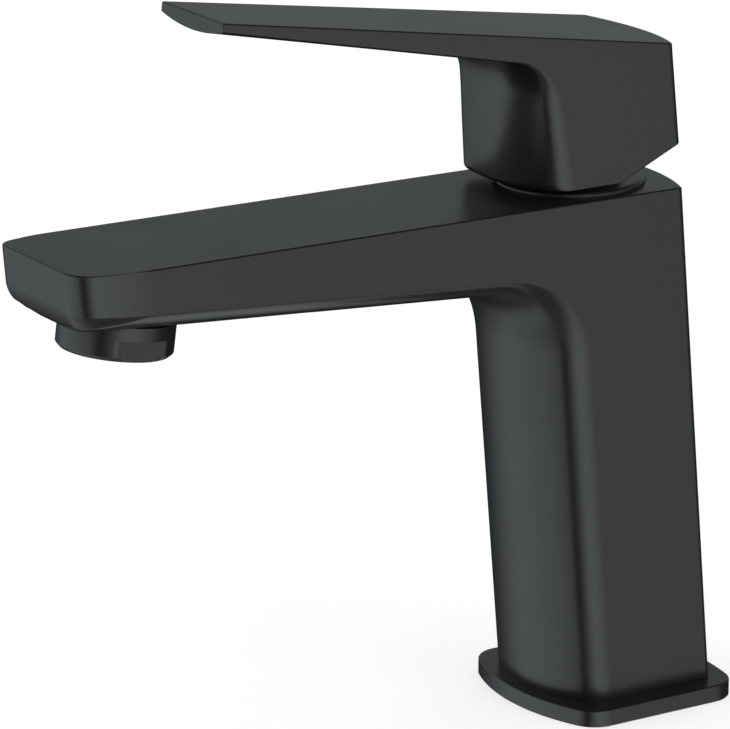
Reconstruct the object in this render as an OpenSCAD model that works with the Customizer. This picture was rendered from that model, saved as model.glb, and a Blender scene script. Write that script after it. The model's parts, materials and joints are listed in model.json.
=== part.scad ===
// Single-lever bathroom mixer faucet, millimetres.
// +Z is up, the spout reaches towards -Y, the deck plane is Z = 0.
// Flat sides, bowed front and rear; the same bowed section runs up the column,
// round the inner bend and out along the underside of the spout and lever.

/* [Column and spout] */
// half width of column and spout
body_hw = 19.64; // [17:0.1:24]
// forward lean of the column, degrees
lean = 5.05; // [0:0.05:10]
// rear edge of the side faces, measured square to the leaned axis
rear_v = 18.05; // [14:0.1:24]
// how far the rear face bows out
rear_bow = 3.95; // [0.5:0.1:6]
// front edge of the flat side faces, square to the leaned axis
rim_v = 11.05; // [6:0.1:16]
// radius between side face and bowed front on the column
col_fillet = 7.9; // [2:0.1:12]
// height of the top face at y = 0
top_z = 125.25; // [90:0.5:160]
// rise of the top face towards the tip, mm per mm
top_slope = 0.0075; // [0:0.0005:0.03]
// reach of the front face at the top edge
tip_y = 150.2; // [100:0.5:180]
// side face lower edge: height where the spout starts
rim_z0 = 109.7; // [90:0.1:130]
// rise of that lower edge towards the tip, mm per mm
rim_slope = 0.0717; // [0:0.001:0.15]
// radius of the inner bend, measured on the side face
bend_r = 23.5; // [14:0.5:40]
// edge angle of the spout's rounded underside, degrees
spout_edge = 60; // [40:1:90]
// radius next to that edge
spout_fillet = 7.6; // [2:0.1:12]

/* [Lever] */
// slope of the top face, mm per mm
lev_slope = 0.15286; // [0:0.001:0.3]
// height of the top face at the rear corners
lev_z = 158.7; // [140:0.1:180]
// rear corner position
lev_y = 4.9; // [0:0.1:12]
// half width at the rear corners
lev_hw = 17.48; // [14:0.1:22]
// narrowing per mm towards the tip
lev_taper = 0.03655; // [0:0.001:0.08]
// reach of the tip
lev_tip = 110.7; // [80:0.5:140]
// underside of the block
lev_bot = 127.45; // [126.9:0.05:130]
// greatest lift, degrees
lift = 21; // [10:1:24]

/* [Cartridge] */
// turning axis position
axis_y = -10.85; // [-14:0.05:-6]
// height of the lift pivot
pivot_z = 132; // [130:0.5:136]
// radius of the cover ring
ring_r = 17.5; // [16:0.1:19]

/* [Outlet] */
// centre of the outlet's lower face
out_y = -131.3; // [-150:0.1:-100]
out_z = 103.45; // [95:0.1:115]
// outlet leans outwards by this angle
out_tilt = 7.65; // [0:0.05:15]
// outlet collar radius
out_r = 13.1; // [11:0.1:15]

/* [Base plate] */
// half width and half depth
base_hw = 25; // [20:0.5:35]
// plate thickness
base_t = 4.13; // [2:0.1:8]

/* [Output] */
// part to draw

/* [Hidden] */
$fn = 96;
BLACK = [0.24, 0.245, 0.245];
e = 0.01;
// directions: up the column, out of its front face, along and below the spout
cu = [-sin(lean), cos(lean)];
cn = [-cos(lean), -sin(lean)];
sa = atan(rim_slope);
su = [-cos(sa), sin(sa)];
sn = [-sin(sa), -cos(sa)];
// where the two rim lines would meet, and the bend between them
corner = rim_corner();
turn = 90 - lean - sa;
tang = bend_r * tan(turn / 2);
bend_c = corner - tang * cu + bend_r * cn;
// length of the spout rim from the bend to the tip
rim_tip_y = -tip_y + (top_z + top_slope * tip_y - rim_z0 - rim_slope * (tip_y - 42.58)) * tan(lean);
bend_end = corner + tang * su;
run = (bend_end[0] - rim_tip_y) / cos(sa);
disc_y = axis_y + 1.9;

function rim_corner() =
  let (k = rim_v / cos(lean), m = tan(lean),
       z = (rim_z0 + rim_slope * (k - 42.58)) / (1 - rim_slope * m))
  [-k - z * m, z];

// depth of the bowed skin at inward distance d from the edge of a face w wide
function skin(d, w, f0, r, fe) =
  let (d1 = r * (sin(f0) - sin(fe)), rb = (w - d1) / sin(fe), s = sin(f0) - d / r)
  d <= 0 ? 0 :
  d < d1 ? r * (sqrt(1 - s * s) - cos(f0)) :
  r * (cos(fe) - cos(f0)) + rb * (sqrt(1 - pow(max(w - d, 0) / rb, 2)) - cos(fe));

// soft corners of the spout tip in plan: a small arc running into a long one,
// the arc's radius and the corner's length on the -X and +X side
tip_R = 60;
function tip_r(x) = x < 0 ? 3.4 : 7;
function tip_s(x) = x < 0 ? 17 : 19.2;
function tip_c(x) = body_hw - tip_R + sqrt(pow(tip_R - tip_r(x), 2) - pow(tip_s(x) - tip_r(x), 2));

// inward distance from that outline at x, t behind the tip
function inward(x, t, w) =
  let (r = tip_r(x), s = tip_s(x), c = tip_c(x), a = abs(x), u = a - w + tip_R, v = s - t)
  v <= 0 || u <= 0 ? w - a :
  u * (s - r) > v * (c - w + tip_R) ? tip_R - norm([u, v]) :
  a > c && t < r ? r - norm([a - c, r - t]) : t;

// depth under the spout near its tip: the side's skin met by a steeper one from the front
function tip_skin(x, t, w, f0, r, fe) =
  let (p = 5, a = inward(x, t, w), hs = skin(w - abs(x), w, f0, r, fe), hf = skin(t, w, 78, 9, 22),
       hc = skin(a, w, 75, 9, 22))
  a <= 0 || t <= 0 || hs <= 0 ? 0 : min(hc, pow(pow(hs, -p) + pow(hf, -p), -1 / p));

// one section ring: [edge point, outward direction, w, tip distance, f0, r, fe,
// bend angle, half width at the back]; without the last it has wings beyond its edges
M = 13;
XS = [for (j = [-M:M]) sin(90 * j / M)];
function ring(q, back) =
  let (w = q[2], wing = is_undef(q[8]), b = q[0] - q[1] * back, wb = wing ? 23 : q[8])
  concat(wing ? [[-23, q[0][0], q[0][1]]] : [],
    [for (u = XS)
      let (x = w * u, h = is_num(q[7]) ? nook(w - abs(x), w, q[7]) :
             q[3] < 99 ? tip_skin(x, q[3], w, q[4], q[5], q[6]) :
             skin(w - abs(x), w, q[4], q[5], q[6]))
      [x, q[0][0] + q[1][0] * h, q[0][1] + q[1][1] * h]],
    wing ? [[23, q[0][0], q[0][1]]] : [],
    [[wb, b[0], b[1]], [-wb, b[0], b[1]]]);

// solid swept through the rings, with the bowed skin on its outer side
module swept(q, back) {
  n = len(q);
  k = len(ring(q[0], back));
  i0 = (k - len(XS) - 2) / 2;
  i1 = i0 + len(XS) - 2;
  edges = [for (s = [0:n - 2]) for (i = [0:k - 1]) [s * k + i, s * k + (i + 1) % k, i >= i0 && i <= i1]];
  faces = concat(
    [[for (i = [0:k - 1]) i], [for (i = [k - 1:-1:0]) (n - 1) * k + i]],
    [for (g = edges) if (g[2]) [g[0], g[0] + k, g[1]]],
    [for (g = edges) if (g[2]) [g[1], g[0] + k, g[1] + k]],
    [for (g = edges) if (!g[2]) [g[0], g[0] + k, g[1] + k, g[1]]]);
  polyhedron([for (s = q) each ring(s, back)], faces, convexity = 6);
}

// round bar between two points
module rod(a, b, r) {
  d = b - a;
  translate(a) rotate([0, acos(d[2] / norm(d)), atan2(d[1], d[0])]) cylinder(r = r, h = norm(d));
}

// rounds the corner of a flat shape: c centre, r radius, from side to bow angle f
module corner_cut(c, r, f, s) {
  translate(c) polygon([[0, 0], [20, 0], [20, s * 40], [20 * sin(f), s * 40], [20 * sin(f), s * 20 * cos(f)]]);
}

// plan with flat sides, bowed front and rear and rounded corners
module bowed_plan(w, yf, bf, rf, yr, br, rr) {
  R1 = (w * w + bf * bf) / (2 * bf);
  R2 = (w * w + br * br) / (2 * br);
  c1 = -yf + R1 - bf;
  c2 = yr - R2 + br;
  k1 = [w - rf, c1 - sqrt(pow(R1 - rf, 2) - pow(w - rf, 2))];
  k2 = [w - rr, c2 + sqrt(pow(R2 - rr, 2) - pow(w - rr, 2))];
  difference() {
    intersection() {
      square([2 * w, 200], center = true);
      translate([0, c1]) circle(R1, $fn = 360);
      translate([0, c2]) circle(R2, $fn = 360);
    }
    for (m = [0, 1]) mirror([m, 0]) {
      corner_cut(k1, rf, asin((w - rf) / (R1 - rf)), -1);
      corner_cut(k2, rr, asin((w - rr) / (R2 - rr)), 1);
    }
  }
  for (m = [0, 1]) mirror([m, 0]) {
    translate(k1) circle(rf);
    translate(k2) circle(rr);
  }
}

// ---------- base ----------
module base_plate() color(BLACK) difference() {
  intersection() {
    linear_extrude(base_t) bowed_plan(base_hw, 18.6, 6.43, 7.44, 21.88, 3.15, 7.44);
    translate([0, 0, -1]) cylinder(r = 60, h = base_t + 1);
  }
  translate([0, 0, -1]) cylinder(r = 15.5, h = 9);
  translate([0, 0, -e]) difference() {
    cylinder(r = 21.6, h = 1.8);
    translate([0, 0, -1]) cylinder(r = 19, h = 4);
  }
}

module base_gasket() color([0.09, 0.09, 0.09]) difference() {
  cylinder(r = 21.45, h = 1.75);
  translate([0, 0, -1]) cylinder(r = 19.15, h = 4);
}

// everything in front of a bowed rear face: arc of radius R centred at y = c
module bow_area(R, c) {
  translate([0, c]) circle(R, $fn = 360);
  translate([-R, c - 300]) square([2 * R, 300]);
}

// ---------- body ----------
// what the soft corner on side m takes off the plan, tip at y = tv
module tip_corner(m, tv) {
  w = body_hw; r = tip_r(m); s = tip_s(m); R = tip_R;
  c = [tip_c(m), tv + r];
  b = [w - R, tv + s];
  scale([m, 1]) difference() {
    translate([c[0], tv - 1]) square([20, s + 1]);
    intersection() {
      translate(b) circle(R, $fn = 720);
      polygon([b, b + [R + 9, 0], b + [R + 9, -(R + 9) * (s - r) / (c[0] - b[0])]]);
    }
    translate(c) circle(r);
    polygon([c + [-1, 0], c, b + (c - b) * R / (R - r) * 0.999, [c[0] - 1, tv + s + 1]]);
  }
}

// plan of column and spout, square to the leaned column axis
module body_plan() {
  w = body_hw;
  R = (w * w + rear_bow * rear_bow) / (2 * rear_bow);
  c = rear_v - R + rear_bow;
  k = [w - 1.4, c + sqrt(pow(R - 1.4, 2) - pow(w - 1.4, 2))];
  tv = -tip_y * cos(lean) + (top_z + top_slope * tip_y) * sin(lean);
  difference() {
    intersection() {
      translate([-w, tv]) square([2 * w, 200]);
      bow_area(R, c);
    }
    for (m = [0, 1]) mirror([m, 0]) {
      corner_cut(k, 1.4, asin((w - 1.4) / (R - 1.4)), 1);
    }
    tip_corner(-1, tv);
    tip_corner(1, tv);
  }
  for (m = [0, 1]) mirror([m, 0]) translate(k) circle(1.4);
}

// rings of the bowed skin from the foot to the tip
NB = 9;
body_rings = concat(
  [[corner - 130 * cu, cn, body_hw, 99, 90, col_fillet, 24]],
  [for (i = [0:NB]) let (f = i / NB, a = f * turn,
      n = [-cos(lean + a), -sin(lean + a)])
    [bend_c - bend_r * n, n, body_hw, 99, 90 - (90 - spout_edge) * f,
     col_fillet + (spout_fillet - col_fillet) * f, 24]],
  [for (t = [run * 0.6, 34, 24, 19, 15, 11, 8, 5.5, 3.5, 2, 1, 0.4, 0, -4])
    [bend_end + (run - t) * su, sn, body_hw, t, spout_edge, spout_fillet, 24 + (t < 50 ? 1.5 : 0.5)]]);

module body_skin() intersection() {
  rotate([lean, 0, 0]) translate([0, 0, -10]) linear_extrude(190) body_plan();
  swept(body_rings, 50);
  // below the top face, above the base plate
  rotate([90, 0, 90]) translate([0, 0, -40]) linear_extrude(80) polygon([[30, base_t], [-170, base_t],
    [-170, top_z + 170 * top_slope], [30, top_z - 30 * top_slope]]);
}

module at_outlet() translate([0, out_y, out_z]) rotate([-out_tilt, 0, 0]) children();

module body() color(BLACK) difference() {
  union() {
    body_skin();
    cylinder(r = 15.2, h = base_t + 1);
  }
  // cartridge chamber, nut thread and ring seat
  translate([0, axis_y, 107.2]) cylinder(r = 13.9, h = 30);
  translate([0, axis_y, 119.8]) cylinder(r = 15, h = 30);
  translate([0, axis_y, 125.1]) cylinder(r = 17.9, h = 30);
  // stud thread, hose threads and supply channels
  translate([0, -9, -1]) cylinder(r = 3.4, h = 18);
  for (m = [0, 1]) mirror([m, 0, 0]) {
    translate([8.2, 4.5, -1]) cylinder(r = 4.5, h = 15.6);
    rod([8.2, 4.5, 13], [7.2, axis_y - 3.2, 98], 2.4);
    rod([7.2, axis_y - 3.2, 97.6], [5.5, axis_y - 3.2, 108.2], 2.4);
  }
  // mixed water: down, forward under the chamber, up into the spout
  translate([0, axis_y + 4.5, 98.6]) cylinder(r = 2.6, h = 10);
  rod([0, axis_y + 4.5, 101.2], [0, -27.5, 101.2], 2.6);
  rod([0, -27, 100.8], [0, -41, 113.2], 3.2);
  translate([0, -38, 113.6]) rotate([-sa, 0, 0]) rotate([90, 0, 0]) linear_extrude(102) {
    square([16, 8], center = true);
    for (x = [-8, 8]) translate([x, 0]) circle(4);
  }
  // outlet thread and collar recess
  at_outlet() {
    translate([0, 0, -8]) cylinder(r = 13.35, h = 16);
    cylinder(r = 12, h = 15.7);
  }
}

// ---------- outlet ----------
module aerator_housing() color(BLACK) at_outlet() difference() {
  union() {
    difference() {
      rotate_extrude() polygon([[0, 0], [out_r - 0.9, 0], [out_r, 0.9], [out_r, 7.8], [0, 7.8]]);
      for (s = [-1, 1]) translate([s * 21.5, 0, 1.77]) cube([20, 40, 6], center = true);
    }
    translate([0, 0, 5]) cylinder(r = 11.9, h = 8.9);
  }
  translate([0, 0, -1]) cylinder(r = 9.5, h = 20);
  translate([0, 0, 1.2]) cylinder(r = 10.3, h = 20);
}

module holes(rings, p, r, z, h) {
  translate([0, 0, z]) cylinder(r = r, h = h, $fn = 24);
  for (k = [1:rings]) for (i = [0:6 * k - 1]) rotate(i * 60 / k) translate([p * k, 0, z])
    cylinder(r = r, h = h, $fn = 24);
}

module aerator_screen() color([0.7, 0.71, 0.72]) at_outlet() difference() {
  translate([0, 0, 1.22]) cylinder(r = 10.2, h = 0.5);
  holes(4, 2.1, 0.8, 0, 4);
}

module aerator_insert() color([0.85, 0.86, 0.86]) at_outlet() difference() {
  translate([0, 0, 1.75]) cylinder(r = 10.2, h = 11.5);
  translate([0, 0, 1]) cylinder(r = 8.9, h = 7.2);
  translate([0, 0, 10.6]) cylinder(r = 8.9, h = 4);
  holes(2, 3.4, 0.9, 5, 9);
}

module aerator_seal() color([0.1, 0.1, 0.1]) at_outlet() translate([0, 0, 13.95]) difference() {
  cylinder(r = 11.7, h = 1.7);
  translate([0, 0, -1]) cylinder(r = 8.6, h = 5);
}

// ---------- cartridge ----------
module cover_ring() color(BLACK) translate([0, axis_y, 125.12]) rotate_extrude() difference() {
  union() {
    translate([12.6, 0]) square([ring_r - 12.6, 0.5]);
    translate([12.6, 0]) square([ring_r - 12.6 - 0.9, 1.4]);
    translate([ring_r - 0.9, 0.5]) circle(0.9);
  }
  translate([0, -5]) square([30, 5]);
}

module retaining_nut() color([0.76, 0.62, 0.33]) translate([0, axis_y, 0]) difference() {
  translate([0, 0, 119.85]) cylinder(r = 14.9, h = 5.2);
  translate([0, 0, 118]) cylinder(r = 12.5, h = 9);
  for (a = [0:60:300]) rotate(a) translate([13.9, 0, 125.5]) cube([4, 3, 3], center = true);
}

module cartridge_housing() color([0.82, 0.83, 0.84]) translate([0, axis_y, 0]) difference() {
  union() {
    translate([0, 0, 111.55]) cylinder(r = 13.6, h = 8.15);
    cylinder(r = 12.2, h = 127.2);
  }
  translate([0, 0, -1]) cylinder(r = 30, h = 112.55);
  cylinder(r = 12.2, h = 119.1);
  cylinder(r = 11.3, h = 125.8);
  cylinder(r = 9.9, h = 140);
}

module cartridge_base() color([0.82, 0.83, 0.84]) difference() {
  translate([0, axis_y, 107.6]) cylinder(r = 13.6, h = 3.9);
  translate([0, axis_y, 109.1]) difference() {
    cylinder(r = 15, h = 1.9);
    translate([0, 0, -1]) cylinder(r = 12, h = 4);
  }
  ports(2.4, 105, 9);
  ports(4.1, 105, 3.8);
}

// the two inlets in front and the outlet behind
module ports(r, z, h) {
  for (x = [-5.5, 5.5]) translate([x, axis_y - 3.2, z]) cylinder(r = r, h = h);
  translate([0, axis_y + 4.5, z]) cylinder(r = r, h = h);
}

module port_seal(x, y) color([0.1, 0.1, 0.1]) translate([x, axis_y + y, 107.22]) difference() {
  cylinder(r = 3.95, h = 1.55);
  translate([0, 0, -1]) cylinder(r = 2.8, h = 4);
}
module port_seal_hot() port_seal(-5.5, -3.2);
module port_seal_cold() port_seal(5.5, -3.2);
module port_seal_mixed() port_seal(0, 4.5);

module base_o_ring() color([0.1, 0.1, 0.1]) translate([0, axis_y, 110.05])
  rotate_extrude() translate([12.94, 0]) circle(0.88, $fn = 32);

module fixed_disc() color([0.93, 0.92, 0.88]) difference() {
  translate([0, axis_y, 111.55]) cylinder(r = 12, h = 2.45);
  ports(2.2, 110, 6);
}

module moving_disc() color([0.95, 0.94, 0.9]) difference() {
  translate([0, disc_y, 114.03]) cylinder(r = 9.4, h = 2.35);
  // mixing pocket: over the outlet when closed, reaching the inlets when open
  translate([-6.3, axis_y - 0.2, 113]) cube([12.6, 5, 2.4]);
  translate([0, axis_y + 4.6, 113]) cylinder(r = 2.6, h = 2.4);
}

module disc_carrier() color([0.3, 0.45, 0.62]) difference() {
  translate([0, disc_y, 0]) {
    translate([0, 0, 116.38]) cylinder(r = 9.2, h = 2.5);
    translate([0, 0, 118]) cylinder(r = 4.2, h = 6);
  }
  // pocket for the ball of the stem
  translate([0, axis_y, 119.2]) cylinder(r = 2.95, h = 9);
}

module spindle() color([0.88, 0.88, 0.86]) translate([0, axis_y, 0]) difference() {
  union() {
    translate([0, 0, 119.3]) cylinder(r = 11, h = 6.2);
    translate([0, 0, 119.3]) cylinder(r = 9.5, h = 16.2);
  }
  // guide for the carrier hub, slot for the stem, pivot bore
  translate([-4.5, -6.4, 119]) cube([9, 12.8, 6.2]);
  translate([-3.3, -5.4, 119]) cube([6.6, 10.8, 20]);
  translate([-20, 0, pivot_z]) rotate([0, 90, 0]) cylinder(r = 1.52, h = 40);
}

module pivot_pin() color([0.75, 0.76, 0.78]) translate([-9, axis_y, pivot_z])
  rotate([0, 90, 0]) cylinder(r = 1.5, h = 18);

module limit_ring() color([0.7, 0.16, 0.12]) translate([0, axis_y, 127.22]) difference() {
  cylinder(r = 11.9, h = 1.4);
  translate([0, 0, -1]) cylinder(r = 9.85, h = 4);
  for (a = [60:12:300]) rotate(a + 90) translate([12, 0, 1.4]) cube([1.4, 0.9, 1.6], center = true);
}

// ---------- lever ----------
// half width at a point of the side view; the sides follow the lever's leaned plan
ll = 6.09;
lv0 = lev_y * cos(ll) + lev_z * sin(ll);
lev_b = lev_taper / (cos(ll) - lev_slope * sin(ll));
function lev_w(p) = lev_hw - (lv0 - p[0] * cos(ll) - p[1] * sin(ll)) * lev_b;
la = 11.66;
fa = 11.1;
lu = [-cos(la), sin(la)];
ln = [-sin(la), -cos(la)];
fu = [-sin(fa), cos(fa)];
fn_ = [-cos(fa), -sin(fa)];
lev_corner = [-27.3, 157.15];
lev_turn = 90 - fa - la;
lev_bend = 13.5;
lev_tang = lev_bend * tan(lev_turn / 2);
lev_c = lev_corner - lev_tang * fu + lev_bend * fn_;
LB = 7;
function lq(p, n, f0, r, fe, a) = [p, n, lev_w(p), 99, f0, r, fe, a, lev_w(p - 60 * n)];
// inner corner of the lever: block front and arm underside meeting at angle a of the bend
function nook(d, w, a) =
  let (ha = lev_bend - skin(d, w, 90, 8.1, 14), hb = lev_bend - skin(d, w, 40, 1.5, 8.5),
       p = 9, ca = cos(a) / ha, cb = cos(lev_turn - a) / hb)
  max(0, lev_bend - pow(pow(ca, p) + pow(cb, p), -1 / p));
lever_rings = concat(
  [for (b = [[33, 9, 6], [30.2, 9, 6], [29.5, 10.2, 9], [28.6, 11.2, 12], [27.3, 12, 13.5], [25.6, 12.2, 14]])
    lq(lev_corner - b[0] * fu, fn_, 90, b[1], b[2])],
  [for (i = [0:LB]) let (f = i / LB, a = fa + f * lev_turn, n = [-cos(a), -sin(a)])
    lq(lev_c - lev_bend * n, n, 90, 8, 14, f * lev_turn)],
  [for (t = [0:4]) lq(lev_corner + (30 + 14.75 * t) * lu, ln, 40, 1.5, 9.5 + t)]);

// plan of the lever's rear: bow and corners, square to its own lean
module lever_plan() {
  w = lev_hw; b = 4.05; r = 1.5;
  R = (w * w + b * b) / (2 * b);
  c = lv0 + 0.1 - R + b;
  // rear corner rounded by three flats about k
  ta = atan(lev_b);
  g = w - lev_b * lv0 - r / cos(ta);
  h = g * lev_b - c;
  kv = (-h + sqrt(h * h - (1 + lev_b * lev_b) * (g * g + c * c - pow(R - r, 2)))) / (1 + lev_b * lev_b);
  k = [g + lev_b * kv, kv];
  f = 90 - asin(k[0] / (R - r));
  difference() {
    intersection() {
      translate([-23, -200]) square([46, 245]);
      bow_area(R, c);
    }
    for (m = [0, 1]) mirror([m, 0]) for (i = [1:3])
      translate(k) rotate(-ta + (f + ta) * i / 4) translate([r, -9]) square([9, 18]);
  }
}

module lever_skin() intersection() {
  rotate([ll, 0, 0]) translate([0, 0, 100]) linear_extrude(100) lever_plan();
  swept(lever_rings, 60);
  // side view: flat bottom, rear clearance slope, top face and tip face
  rotate([90, 0, 90]) translate([0, 0, -30]) linear_extrude(60) polygon([
    [-60, lev_bot], [-8.3, lev_bot], [22, lev_bot + 30.3 * 0.466], [22, lev_z + (lev_y - 22) * lev_slope],
    [-lev_tip, lev_z + (lev_y + lev_tip) * lev_slope],
    [-lev_tip - 2.1, lev_z + (lev_y + lev_tip) * lev_slope - 30], [-90, lev_bot]]);
}

module lever() color(BLACK) difference() {
  lever_skin();
  translate([0, axis_y, 100]) cylinder(r = 14.6, h = 41);
  translate([-3.05, axis_y - 3.05, 140]) cube([6.1, 6.1, 10.6]);
  translate([0, axis_y, 146]) rotate([-90, 0, 0]) cylinder(r = 2.5, h = 40);
  translate([0, 5.5, 146]) rotate([-90, 0, 0]) cylinder(r = 3.55, h = 20);
}

module lever_stem() color([0.72, 0.73, 0.75]) translate([0, axis_y, 0]) difference() {
  union() {
    translate([-3, -3, 129]) cube([6, 6, 21.5]);
    translate([0, 0, 122]) cylinder(r = 2.2, h = 8);
    translate([0, 0, 122]) sphere(2.6);
  }
  translate([-9, 0, pivot_z]) rotate([0, 90, 0]) cylinder(r = 1.55, h = 18);
}

module set_screw() color([0.3, 0.3, 0.31]) translate([0, axis_y + 3.02, 146]) rotate([-90, 0, 0]) difference() {
  cylinder(r = 2.45, h = 9);
  translate([0, 0, 5.5]) cylinder(r = 1.45, h = 9, $fn = 6);
}

module screw_plug() color([0.1, 0.1, 0.1]) translate([0, 5.55, 146]) rotate([-90, 0, 0])
  cylinder(r = 3.45, h = 4);

base_plate();
base_gasket();
body();
aerator_housing();
aerator_insert();
aerator_screen();
aerator_seal();
cover_ring();
retaining_nut();
cartridge_housing();
cartridge_base();
port_seal_hot();
port_seal_cold();
port_seal_mixed();
base_o_ring();
fixed_disc();
moving_disc();
disc_carrier();
spindle();
pivot_pin();
limit_ring();
lever();
lever_stem();
set_screw();
screw_plug();
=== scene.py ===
"""Single-lever mixer faucet: visible surfaces, finishes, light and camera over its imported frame."""

import json
import math

import bmesh
import bpy
import numpy as np
from bpy.props import FloatProperty, FloatVectorProperty, IntProperty
from mathutils import Matrix, Vector


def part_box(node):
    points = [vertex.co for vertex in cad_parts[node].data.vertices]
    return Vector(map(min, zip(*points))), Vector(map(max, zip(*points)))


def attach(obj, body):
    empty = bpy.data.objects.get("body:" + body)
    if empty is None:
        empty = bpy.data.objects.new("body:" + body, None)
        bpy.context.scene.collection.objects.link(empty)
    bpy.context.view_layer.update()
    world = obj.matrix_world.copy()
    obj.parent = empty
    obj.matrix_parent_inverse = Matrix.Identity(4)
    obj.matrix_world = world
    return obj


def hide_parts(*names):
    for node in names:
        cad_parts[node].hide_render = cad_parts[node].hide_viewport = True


bl_info = {
    "name": "Mixer faucet",
    "version": (1, 0, 0),
    "blender": (4, 5, 0),
    "location": "3D view > Sidebar > Faucet",
    "description": "Builds the surfaces, finishes and studio of a single-lever mixer faucet",
    "category": "Object",
}

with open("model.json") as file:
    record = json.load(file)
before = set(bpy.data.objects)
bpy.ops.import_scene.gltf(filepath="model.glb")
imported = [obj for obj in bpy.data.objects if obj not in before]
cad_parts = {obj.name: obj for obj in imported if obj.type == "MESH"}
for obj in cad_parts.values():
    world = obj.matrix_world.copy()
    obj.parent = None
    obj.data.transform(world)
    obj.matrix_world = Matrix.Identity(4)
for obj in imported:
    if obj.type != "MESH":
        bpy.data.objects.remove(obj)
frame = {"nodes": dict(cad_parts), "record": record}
MM = 0.001


# ---------------- sizes and colours
def length(name, text, value):
    """A length property in metres."""
    return FloatProperty(name=name, description=text, default=value, unit="LENGTH", subtype="DISTANCE",
                         precision=5)


def tint(name, text, value):
    """A colour property."""
    return FloatVectorProperty(name=name, description=text, default=value, size=3, subtype="COLOR", min=0.0,
                               max=1.0)


class FaucetSettings(bpy.types.PropertyGroup):
    """Sizes and colours that the operators read."""

    edge: length("Edge rounding", "Radius on the crisp edges of body and lever", 0.00042)
    plate_edge: length("Plate rounding", "Radius on the upper edge of the base plate", 0.00042)
    outlet_edge: length("Outlet rounding", "Radius on the edges of the outlet collar", 0.00025)
    columns: IntProperty(name="Columns", description="Grid columns across half of a surface", default=34,
                         min=8, max=80)
    grain: length("Coating grain", "Size of the grain of the matte coating", 0.00028)
    coat: tint("Coating", "Matte black coating", (0.0135, 0.0137, 0.0137))
    rubber: tint("Rubber", "Seals and gaskets", (0.012, 0.012, 0.0125))
    brass: tint("Brass", "Retaining nut", (0.62, 0.42, 0.17))
    steel: tint("Steel", "Screen, stem and pin", (0.56, 0.57, 0.58))
    dark_steel: tint("Dark steel", "Set screw", (0.075, 0.075, 0.08))
    pale: tint("Pale plastic", "Outlet insert", (0.62, 0.63, 0.64))
    ceramic: tint("Ceramic", "Discs of the cartridge", (0.84, 0.82, 0.77))
    blue: tint("Carrier plastic", "Carrier of the moving disc", (0.07, 0.17, 0.36))
    housing: tint("Housing plastic", "Cartridge housing", (0.16, 0.165, 0.17))
    # painted shade: the limit ring gets a near-black tint in place of its own colour, so that the gap
    # between the lever's block and the cover ring shows dark
    limit: tint("Limit ring darkened as painted shade", "Limit ring of the cartridge, near black as painted shade in the gap under the lever", (0.03, 0.03, 0.032))


def settings():
    """The scene's settings."""
    return bpy.context.scene.faucet


def box_side(node, axis, high):
    """Where a node's box ends on an axis, low or high side, in millimetres."""
    return round(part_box(node)[1 if high else 0][axis] / MM, 2)


def box_middle(node, axis):
    """The middle of a node's box on an axis, in millimetres."""
    return (box_side(node, axis, False) + box_side(node, axis, True)) / 2


def leaned(angle):
    """Directions in side view (y, z) of an upright line leaned towards the tip: up it, and out in front."""
    return np.array([-math.sin(angle), math.cos(angle)]), np.array([-math.cos(angle), -math.sin(angle)])


def rising(angle):
    """Directions in side view (y, z) of a line that rises towards the tip: along it, and out below."""
    return np.array([-math.cos(angle), math.sin(angle)]), np.array([-math.sin(angle), -math.cos(angle)])


X, Y, Z = 0, 1, 2

# All the sizes below are in millimetres, and a slope is in millimetres per millimetre.
# Column and spout.
BODY_HALF = box_side("body", X, True)  # half width
LEAN = math.radians(5.05)  # forward lean of the column
REAR_EDGE = 18.05  # rear edge of the flat side, square to the leaned axis
REAR_BOW = 3.95  # how far the rear face bows out
REAR_CORNER_R = 1.4  # radius between side and rear face
FRONT_EDGE = 11.05  # front edge of the flat side, square to the leaned axis
TOP_HEIGHT = 125.25  # height of the top face at y = 0
TOP_RISE = 0.0075  # its slope, up towards the tip
REACH = 150.2  # reach of the front face at the top edge
UNDER_HEIGHT, UNDER_Y = 109.7, -42.58  # height of the side's lower edge, and where that is measured
UNDER_RISE = 0.0717  # slope of that edge, up towards the tip
BEND_R = 23.5  # radius of the inner bend on the flat side
COLUMN_R = 7.9  # small circle beside the column's bowed front
SPOUT_R = 7.6  # small circle beside the spout's bowed underside
SPOUT_START = 60.0  # angle at which that circle leaves the side
WIDE_START = 24.0  # angle at which the wide circle takes over, in degrees
NEAR_BACK = 1.3  # how much further back the flat side starts on the +X side of column and block
TIP_R = 60.0  # long arc of the outline beside each corner of the tip
TIP_NEAR_R, TIP_FAR_R = 7.0, 3.4  # corner's small arc on the +X side and on the -X side
TIP_NEAR_LENGTH, TIP_FAR_LENGTH = 19.2, 17.0  # how far behind the tip each corner ends
LIP_R, LIP_JOIN = 9.0, 22.0  # small circle of the skin under the tip, and where its wide circle starts
LIP_LENGTH = 60.0  # how far behind the tip that skin reaches
FRONT_START, CORNER_START = 78.0, 75.0  # angles at which it leaves the tip's front and corners
UNDER_SHARE = 0.2  # share of the edge rounding on the bowed underside
COLUMN_POINTS, BEND_POINTS, SPOUT_POINTS, EDGE_POINTS = 5, 24, 40, 5
UP, FORWARD = leaned(LEAN)
SPOUT_TILT = math.atan(UNDER_RISE)
ALONG, BELOW = rising(SPOUT_TILT)

# Foot, cartridge chamber and outlet.
PLATE_HALF = box_side("base_plate", X, True)
PLATE_T = box_side("base_plate", Z, True)
AXIS_Y = box_middle("cover_ring", Y)  # the lever's turning axis
RING_R, RING_Z = box_side("cover_ring", X, True), box_side("cover_ring", Z, False)
OUTLET_R = box_side("aerator_housing", X, True)
OUTLET_Y, OUTLET_Z, OUTLET_TILT = -131.3, 103.45, 7.65  # middle of the mouth, and its tilt in degrees
SPIGOT_R, SPIGOT_TOP = 15.2, 4.6
STUD_R, STUD_Y = 3.4, -9.0
HOSE_R, HOSE_X, HOSE_Y = 4.5, 8.2, 4.5

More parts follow.
